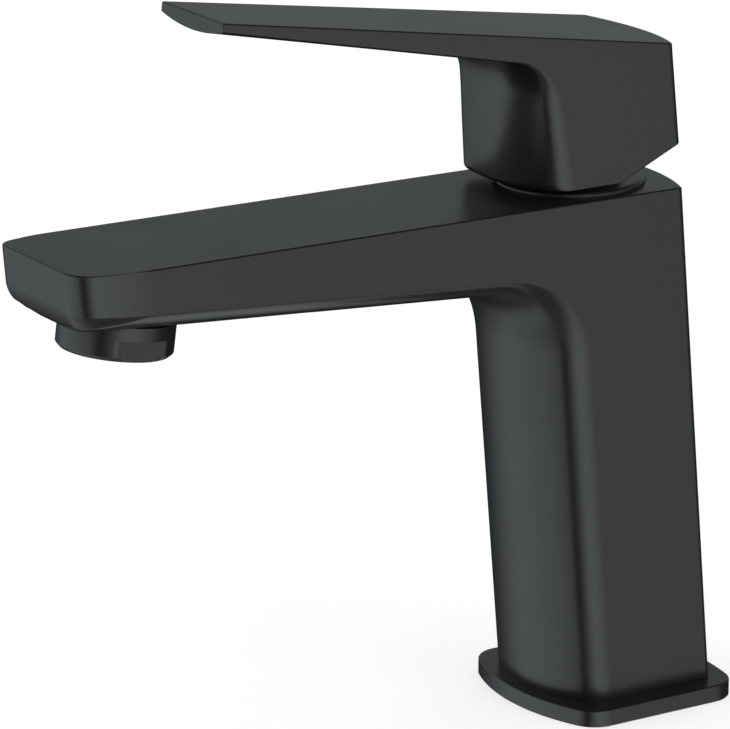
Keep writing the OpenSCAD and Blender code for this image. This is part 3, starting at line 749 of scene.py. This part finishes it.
# ---------------- outlet, ring and plug
def make_outlet():
    """Outlet collar with two spanner flats, rounded edges and a chamfered mouth."""
    e, r = settings().outlet_edge / MM, OUTLET_R
    mouth, bore, neck, flat = 9.5, 10.3, 11.9, 11.5
    flat_top, shoulder, top, lip = 4.77, 7.8, 13.9, 1.2
    profile = [(mouth, e), (mouth + e, 0.0), (r - 1.15, 0.0),
               (r - 0.9, 0.09), (r - 0.14, 0.82), (r, 1.05), (r, flat_top),
               (r, flat_top + 0.005), (r, shoulder), (neck, shoulder), (neck, top), (bore, top), (bore, lip),
               (mouth, lip)]
    limit = [2 * r] * 3 + [flat] * 4 + [2 * r] * 7
    obj = coated_ring("outlet_collar", profile, (0, OUTLET_Y, OUTLET_Z), OUTLET_TILT, 192, limit)
    smooth(obj, 32)
    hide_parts("aerator_housing")


def make_ring():
    """Cover ring over the cartridge: a low turned ring with a rounded upper edge."""
    bore, height, r = 12.6, 1.4, 0.9
    upper = arc(RING_R - r, height - r, r, 0, 90, 8)
    profile = np.concatenate([[(bore, 0), (RING_R, 0)], upper, [(bore + 0.3, height), (bore, height - 0.3)]])
    obj = coated_ring("cover_ring_shell", profile, (0, AXIS_Y, RING_Z), steps=160)
    smooth(obj)
    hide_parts("cover_ring")


def make_plug():
    """Rubber plug over the set screw: a slightly domed, softly edged disc along Y."""
    face_r, edge_r, steps = PLUG_R - 0.25, 0.25, 48
    t = np.linspace(0, 1, 7)[:-1]
    dome = np.c_[face_r * (1 - t), 3.82 + 0.18 * np.sin(t * np.pi / 2)]
    wall = [(face_r, 0.0), (PLUG_R, 0.2), (PLUG_R, 3.6)]
    profile = np.concatenate([wall, arc(face_r, 3.57, edge_r, 10, 80, 4), dome])
    v = turned(profile, (0, 0, 0), steps=steps)
    v = np.stack([v[:, 0], v[:, 2] + PLUG_Y, PLUG_Z - v[:, 1]], -1)
    obj = new_piece("screw_plug_cap", v, capped_faces(len(profile), steps), "handle", "rubber")
    smooth(obj)
    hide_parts("screw_plug")


# ---------------- finishes
FINISHES = {}


def add(tree, kind, inputs=(), **values):
    """A new node. inputs go by name or in order, each a value or the output it is linked to, and values are
    the node's plain attributes."""
    n = tree.nodes.new(kind)
    for k, v in values.items():
        setattr(n, k, v)
    for k, v in inputs.items() if isinstance(inputs, dict) else enumerate(inputs):
        if isinstance(v, bpy.types.NodeSocket):
            tree.links.new(v, n.inputs[k])
        else:
            n.inputs[k].default_value = v
    return n


def out(tree, kind, inputs=(), **values):
    """The first output of a new node."""
    return add(tree, kind, inputs, **values).outputs[0]


def emptied(owner):
    """The empty node tree of a material or world."""
    owner.use_nodes = True
    owner.node_tree.nodes.clear()
    return owner.node_tree


def ramp(tree, factor, stops):
    """Colour by factor, straight between stops of (position, colour)."""
    n = add(tree, "ShaderNodeValToRGB", [factor])
    elements = n.color_ramp.elements
    while len(elements) < len(stops):
        elements.new(0.5)
    for element, (position, colour) in zip(elements, stops):
        element.position = position
        element.color = (*colour, 1)
    return n.outputs[0]


def noise(tree, place, scale, detail, roughness):
    """Noise from 0 to 1."""
    return out(tree, "ShaderNodeTexNoise", {"Vector": place, "Scale": scale, "Detail": detail,
               "Roughness": roughness})


def finish(name, color, rough, metallic=0.0, grain=0.0003, bump=0.1, vary=0.12, specular=0.5, coat=0.0,
           stretch=(1, 1, 1)):
    """Procedural finish on object coordinates: slow and fine noise vary the colour and the roughness, and
    fine noise of the given grain lifts the surface a little. stretch draws the grain out along an axis."""
    if name in FINISHES:
        return FINISHES[name]
    mat = FINISHES[name] = bpy.data.materials.new(name + "_finish")
    tree = emptied(mat)
    fine_share, low, high, rough_range = 0.6, 0.3, 0.7, 0.04
    place = add(tree, "ShaderNodeTexCoord").outputs["Object"]
    drawn = out(tree, "ShaderNodeMapping", {"Vector": place, "Scale": stretch})
    fine = noise(tree, drawn, 1 / grain, 3.0, 0.6)
    slow = noise(tree, place, 45.0, 2.0, 0.5)
    part = out(tree, "ShaderNodeMath", [slow, 1 - fine_share], operation="MULTIPLY")
    both = out(tree, "ShaderNodeMath", [fine, fine_share, part], operation="MULTIPLY_ADD")
    colour = np.array(color[:])
    tone = ramp(tree, both, [(low, colour * (1 - vary)), (high, np.minimum(colour * (1 + vary), 1))])
    dull = out(tree, "ShaderNodeMapRange", [both, low, high, rough - rough_range, rough + rough_range])
    lift = out(tree, "ShaderNodeBump", {"Strength": bump, "Distance": grain * 0.5, "Height": fine})
    shader = out(tree, "ShaderNodeBsdfPrincipled", {"Metallic": metallic, "Specular IOR Level": specular,
                 "Coat Weight": coat, "Base Color": tone, "Roughness": dull, "Normal": lift})
    add(tree, "ShaderNodeOutputMaterial", [shader])
    return mat


def matte_black():
    """Matte powder coating with a fine grain."""
    st = settings()
    return finish("matte_black", st.coat, 0.3, grain=st.grain, bump=0.06, vary=0.14)


def rubber():
    """Dull black rubber."""
    return finish("rubber", settings().rubber, 0.66, grain=0.0004, bump=0.2, vary=0.2, specular=0.35)


def plastic(name, color, rough=0.42, grain=0.0005, bump=0.06, vary=0.08, coat=0.0):
    """Moulded plastic or pressed ceramic."""
    return finish(name, color, rough, grain=grain, bump=bump, vary=vary, coat=coat)


def metal(name, color, rough, grain, bump, vary, stretch=(1, 1, 1)):
    """Bare metal, its grain drawn out along the direction in which it was turned or drawn."""
    return finish(name, color, rough, metallic=1.0, grain=grain, bump=bump, vary=vary, stretch=stretch)


def slot_finishes():
    """One finish for each material slot of the record."""
    st = settings()
    return {
        "matte_black": matte_black(),
        "rubber": rubber(),
        "outlet_plastic": plastic("outlet_plastic", st.pale, 0.38, bump=0.05, vary=0.04),
        "steel": metal("steel", st.steel, 0.3, 0.00025, 0.12, 0.06, (1, 1, 0.15)),
        "brass": metal("brass", st.brass, 0.28, 0.0003, 0.12, 0.08, (1, 1, 0.2)),
        "cartridge_plastic": plastic("cartridge_plastic", st.housing, grain=0.0006, vary=0.05),
        "ceramic": plastic("ceramic", st.ceramic, 0.16, 0.0008, 0.02, 0.03, coat=0.15),
        "carrier_plastic": plastic("carrier_plastic", st.blue, 0.4),
        "pin_steel": metal("pin_steel", st.steel, 0.22, 0.0002, 0.1, 0.05, (0.1, 1, 1)),
        # painted shade: the limit ring's finish uses that near-black tint, which darkens the gap under the
        # lever
        "limit_plastic": plastic("limit_plastic", st.limit),
        "dark_steel": metal("dark_steel", st.dark_steel, 0.36, 0.0003, 0.1, 0.1),
    }


def dress_nodes():
    """Gives every CAD node the finish of its own slot."""
    finishes = slot_finishes()
    slots = {s["node"]: s["material_slot"] for s in frame["record"]["subparts"]}
    for name, obj in frame["nodes"].items():
        mat = finishes[slots[name]]
        if not obj.data.materials:
            obj.data.materials.append(mat)
        for s in obj.material_slots:
            s.material = mat


# ---------------- studio
# Brightness by direction, as reflections see it: (degrees from -Y towards +X, brightness). Soft boxes in
# front on the left and on the right, a dark gap between them, and a dim back.
LEVEL_LIGHT = [(-180, 0.05), (-122, 0.01), (-104, 0.015), (-88, 0.08), (-74, 0.35), (-60, 0.85),
               (-46, 1.15), (-30, 1.35), (4, 1.4), (12, 1.25), (18, 0.7), (22, 0.12), (26, 0), (34, 0),
               (41, 0.2), (50, 0.7), (62, 1.55), (78, 2.05), (93, 1.85), (104, 1.55), (113, 1.27),
               (121, 0.98), (131, 0.83), (138, 0.75), (148, 0.1), (180, 0.05)]
RAISED_LIGHT = [(-180, 0.2), (-150, 0.3), (-100, 0.3), (-62, 0.8), (-20, 1.0), (4, 0.7), (17, 0.1),
                (34, 0.1), (52, 0.5), (78, 1.0), (122, 0.6), (180, 0.2)]
FLOOR_LIGHT = [(-180, 1.2), (-160, 1.1), (-148, 0.7), (-128, 0.02), (-108, 0.03), (-90, 0.2), (-76, 0.5),
               (-50, 0.9), (-10, 0.9), (20, 0.4), (60, 0.3), (110, 0.2), (142, 0.1), (162, 1.1), (180, 1.2)]
COOL, WARM, WARM_FROM = (0.92, 1.0, 1.035), (0.965, 0.98, 1.01), 108  # tints, and where warm starts
RAISED_FROM, RAISED_TO = -0.2, 0.1  # heights of a direction between which level turns into raised
FLOOR_FROM, FLOOR_TO = -0.7, -0.5  # and between which floor turns into level
CEILING_FROM, CEILING_TO, CEILING = 0.45, 0.7, 0.05  # where the light fades out overhead, and to what share
PLAIN_LIGHT, PLAIN_TINT = 0.5, (0.97, 1.0, 1.0, 1)  # light on dull surfaces from all round
FLOOR_GLOW = 0.62  # lifts the floor to white where it is seen, and leaves the shadow
LAMP_POWER = 2.0  # watts


def either(tree, *rays):
    """Value that is 1 for rays of any of these kinds."""
    path = add(tree, "ShaderNodeLightPath")
    last = path.outputs[rays[0]]
    for other in rays[1:]:
        last = out(tree, "ShaderNodeMath", [last, path.outputs[other]], operation="MAXIMUM")
    return last


def make_world():
    """Studio round the object: white where the camera looks; plain light on dull surfaces; in reflections,
    the soft boxes by direction, with their own lists for low, level and raised directions."""
    world = bpy.data.worlds.new("studio")
    bpy.context.scene.world = world
    tree = emptied(world)
    split = add(tree, "ShaderNodeSeparateXYZ", [add(tree, "ShaderNodeTexCoord").outputs["Generated"]])
    x, y, height = split.outputs
    front = out(tree, "ShaderNodeMath", [y, -1.0], operation="MULTIPLY")
    angle = out(tree, "ShaderNodeMath", [x, front], operation="ARCTAN2")
    azimuth = out(tree, "ShaderNodeMapRange", [angle, -math.pi, math.pi, 0.0, 1.0])

    def around(stops):
        """Tinted brightness by direction round the object."""
        return ramp(tree, azimuth, [((deg + 180) / 360, light * np.array(COOL if deg < WARM_FROM else WARM))
                                    for deg, light in stops])

    def fade(low, high, start, end):
        """Soft change from start to end as a direction's height goes from low to high."""
        return out(tree, "ShaderNodeMapRange", [height, low, high, start, end],
                   interpolation_type="SMOOTHSTEP")

    def mix(share, a, b):
        """Colour a turning into colour b."""
        n = add(tree, "ShaderNodeMix", {0: share, 6: a, 7: b}, data_type="RGBA")
        return n.outputs[2]

    upper = mix(fade(RAISED_FROM, RAISED_TO, 0.0, 1.0), around(LEVEL_LIGHT), around(RAISED_LIGHT))
    gloss = mix(fade(FLOOR_FROM, FLOOR_TO, 1.0, 0.0), upper, around(FLOOR_LIGHT))
    plain = out(tree, "ShaderNodeBackground", [PLAIN_TINT, PLAIN_LIGHT])
    shine = out(tree, "ShaderNodeBackground", [gloss, fade(CEILING_FROM, CEILING_TO, 1.0, CEILING)])
    white = out(tree, "ShaderNodeBackground", [(1, 1, 1, 1), 1.0])
    lit = out(tree, "ShaderNodeMixShader", [either(tree, "Is Glossy Ray"), plain, shine])
    seen = either(tree, "Is Camera Ray", "Is Transmission Ray")
    add(tree, "ShaderNodeOutputWorld", [out(tree, "ShaderNodeMixShader", [seen, lit, white])])


def make_floor():
    """Pale floor that shows as white and keeps a soft shadow."""
    s = 3.0
    mesh = bpy.data.meshes.new("floor")
    mesh.from_pydata([(-s, -s, 0), (s, -s, 0), (s, s, 0), (-s, s, 0)], [], [(0, 1, 2, 3)])
    obj = new_object("floor", mesh)
    obj.visible_glossy = False
    mat = bpy.data.materials.new("pale_floor")
    tree = emptied(mat)
    pale = out(tree, "ShaderNodeBsdfDiffuse", {"Color": (0.8, 0.8, 0.8, 1)})
    shown = either(tree, "Is Camera Ray", "Is Glossy Ray", "Is Transmission Ray")
    strength = out(tree, "ShaderNodeMath", [shown, FLOOR_GLOW], operation="MULTIPLY")
    glow = out(tree, "ShaderNodeEmission", {"Color": (1, 1, 1, 1), "Strength": strength})
    add(tree, "ShaderNodeOutputMaterial", [out(tree, "ShaderNodeAddShader", [pale, glow])])
    mesh.materials.append(mat)


def make_lights():
    """Two soft boxes that don't show in reflections: each has a name, a place and its width and height."""
    aim = Vector((0, -0.05, 0.09))
    for name, at, width, height in (
        ("softbox_front_left", (-0.9, -1.3, 0.75), 0.9, 1.2),
        ("softbox_right", (1.5, 0.5, 0.6), 0.8, 1.2),
    ):
        light = bpy.data.lights.new(name, "AREA")
        light.shape, light.size, light.size_y, light.energy = "RECTANGLE", width, height, LAMP_POWER
        obj = new_object(name, light)
        obj.location = at
        obj.rotation_euler = (Vector(at) - aim).to_track_quat("Z", "Y").to_euler()
        obj.visible_glossy = False


def make_camera():
    """Camera at the product view: three quarters from the front, a little above."""
    azimuth, elevation, roll = math.radians(57.483), math.radians(17.312), math.radians(0.104)
    aim, distance = Vector((0.0, -0.0654655, 0.075)), 1.158745
    level = math.cos(elevation)
    back = Vector((math.sin(azimuth) * level, -math.cos(azimuth) * level, math.sin(elevation)))
    right = Vector((math.cos(azimuth), math.sin(azimuth), 0))
    up = back.cross(right)
    sin, cos = math.sin(roll), math.cos(roll)
    data = bpy.data.cameras.new("camera")
    data.sensor_fit, data.sensor_width, data.lens = "HORIZONTAL", 36.0, 251.86537
    data.shift_x, data.shift_y = -0.0036986, 0.0844247
    data.clip_end = 20.0
    obj = new_object("camera", data)
    turned_to = Matrix((cos * right + sin * up, -sin * right + cos * up, back)).transposed().to_4x4()
    turned_to.translation = aim + distance * back
    obj.matrix_world = turned_to
    bpy.context.scene.camera = obj


# ---------------- operators
class FAUCET_OT_nodes(bpy.types.Operator):
    """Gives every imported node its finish"""

    bl_idname = "faucet.nodes"
    bl_label = "Inner parts"

    def execute(self, context):
        dress_nodes()
        return {"FINISHED"}


class FAUCET_OT_body(bpy.types.Operator):
    """Builds the column, the spout and the spigot"""

    bl_idname = "faucet.body"
    bl_label = "Column and spout"

    def execute(self, context):
        make_body()
        make_spigot()
        return {"FINISHED"}


class FAUCET_OT_lever(bpy.types.Operator):
    """Builds the lever"""

    bl_idname = "faucet.lever"
    bl_label = "Lever"

    def execute(self, context):
        make_lever()
        return {"FINISHED"}


class FAUCET_OT_plate(bpy.types.Operator):
    """Builds the base plate"""

    bl_idname = "faucet.plate"
    bl_label = "Base plate"

    def execute(self, context):
        make_plate()
        return {"FINISHED"}


class FAUCET_OT_outlet(bpy.types.Operator):
    """Builds the outlet collar"""

    bl_idname = "faucet.outlet"
    bl_label = "Outlet"

    def execute(self, context):
        make_outlet()
        return {"FINISHED"}


class FAUCET_OT_ring(bpy.types.Operator):
    """Builds the cover ring"""

    bl_idname = "faucet.ring"
    bl_label = "Cover ring"

    def execute(self, context):
        make_ring()
        return {"FINISHED"}


class FAUCET_OT_plug(bpy.types.Operator):
    """Builds the plug over the set screw"""

    bl_idname = "faucet.plug"
    bl_label = "Screw plug"

    def execute(self, context):
        make_plug()
        return {"FINISHED"}


class FAUCET_OT_studio(bpy.types.Operator):
    """Makes the world, the floor, the lights and the camera"""

    bl_idname = "faucet.studio"
    bl_label = "Studio"

    def execute(self, context):
        make_world()
        make_floor()
        make_lights()
        make_camera()
        context.scene.view_settings.view_transform = "Standard"
        return {"FINISHED"}


OPERATORS = [FAUCET_OT_nodes, FAUCET_OT_body, FAUCET_OT_lever, FAUCET_OT_plate, FAUCET_OT_outlet,
             FAUCET_OT_ring, FAUCET_OT_plug, FAUCET_OT_studio]


class FAUCET_PT_panel(bpy.types.Panel):
    """Lists the settings and the operators in the sidebar of the 3D view"""

    bl_label = "Mixer faucet"
    bl_idname = "FAUCET_PT_panel"
    bl_space_type = "VIEW_3D"
    bl_region_type = "UI"
    bl_category = "Faucet"

    def draw(self, context):
        for name in FaucetSettings.__annotations__:
            self.layout.prop(context.scene.faucet, name)
        for op in OPERATORS:
            self.layout.operator(op.bl_idname)


CLASSES = [FaucetSettings, *OPERATORS, FAUCET_PT_panel]


def register():
    """Registers the classes and the settings."""
    for c in CLASSES:
        bpy.utils.register_class(c)
    bpy.types.Scene.faucet = bpy.props.PointerProperty(type=FaucetSettings)


def unregister():
    """Takes them away again."""
    del bpy.types.Scene.faucet
    for c in reversed(CLASSES):
        bpy.utils.unregister_class(c)


def main():
    """Builds everything in order."""
    register()
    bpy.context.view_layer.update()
    bpy.ops.faucet.nodes()
    bpy.ops.faucet.body()
    bpy.ops.faucet.lever()
    bpy.ops.faucet.plate()
    bpy.ops.faucet.outlet()
    bpy.ops.faucet.ring()
    bpy.ops.faucet.plug()
    bpy.ops.faucet.studio()


if __name__ == "__main__":
    main()
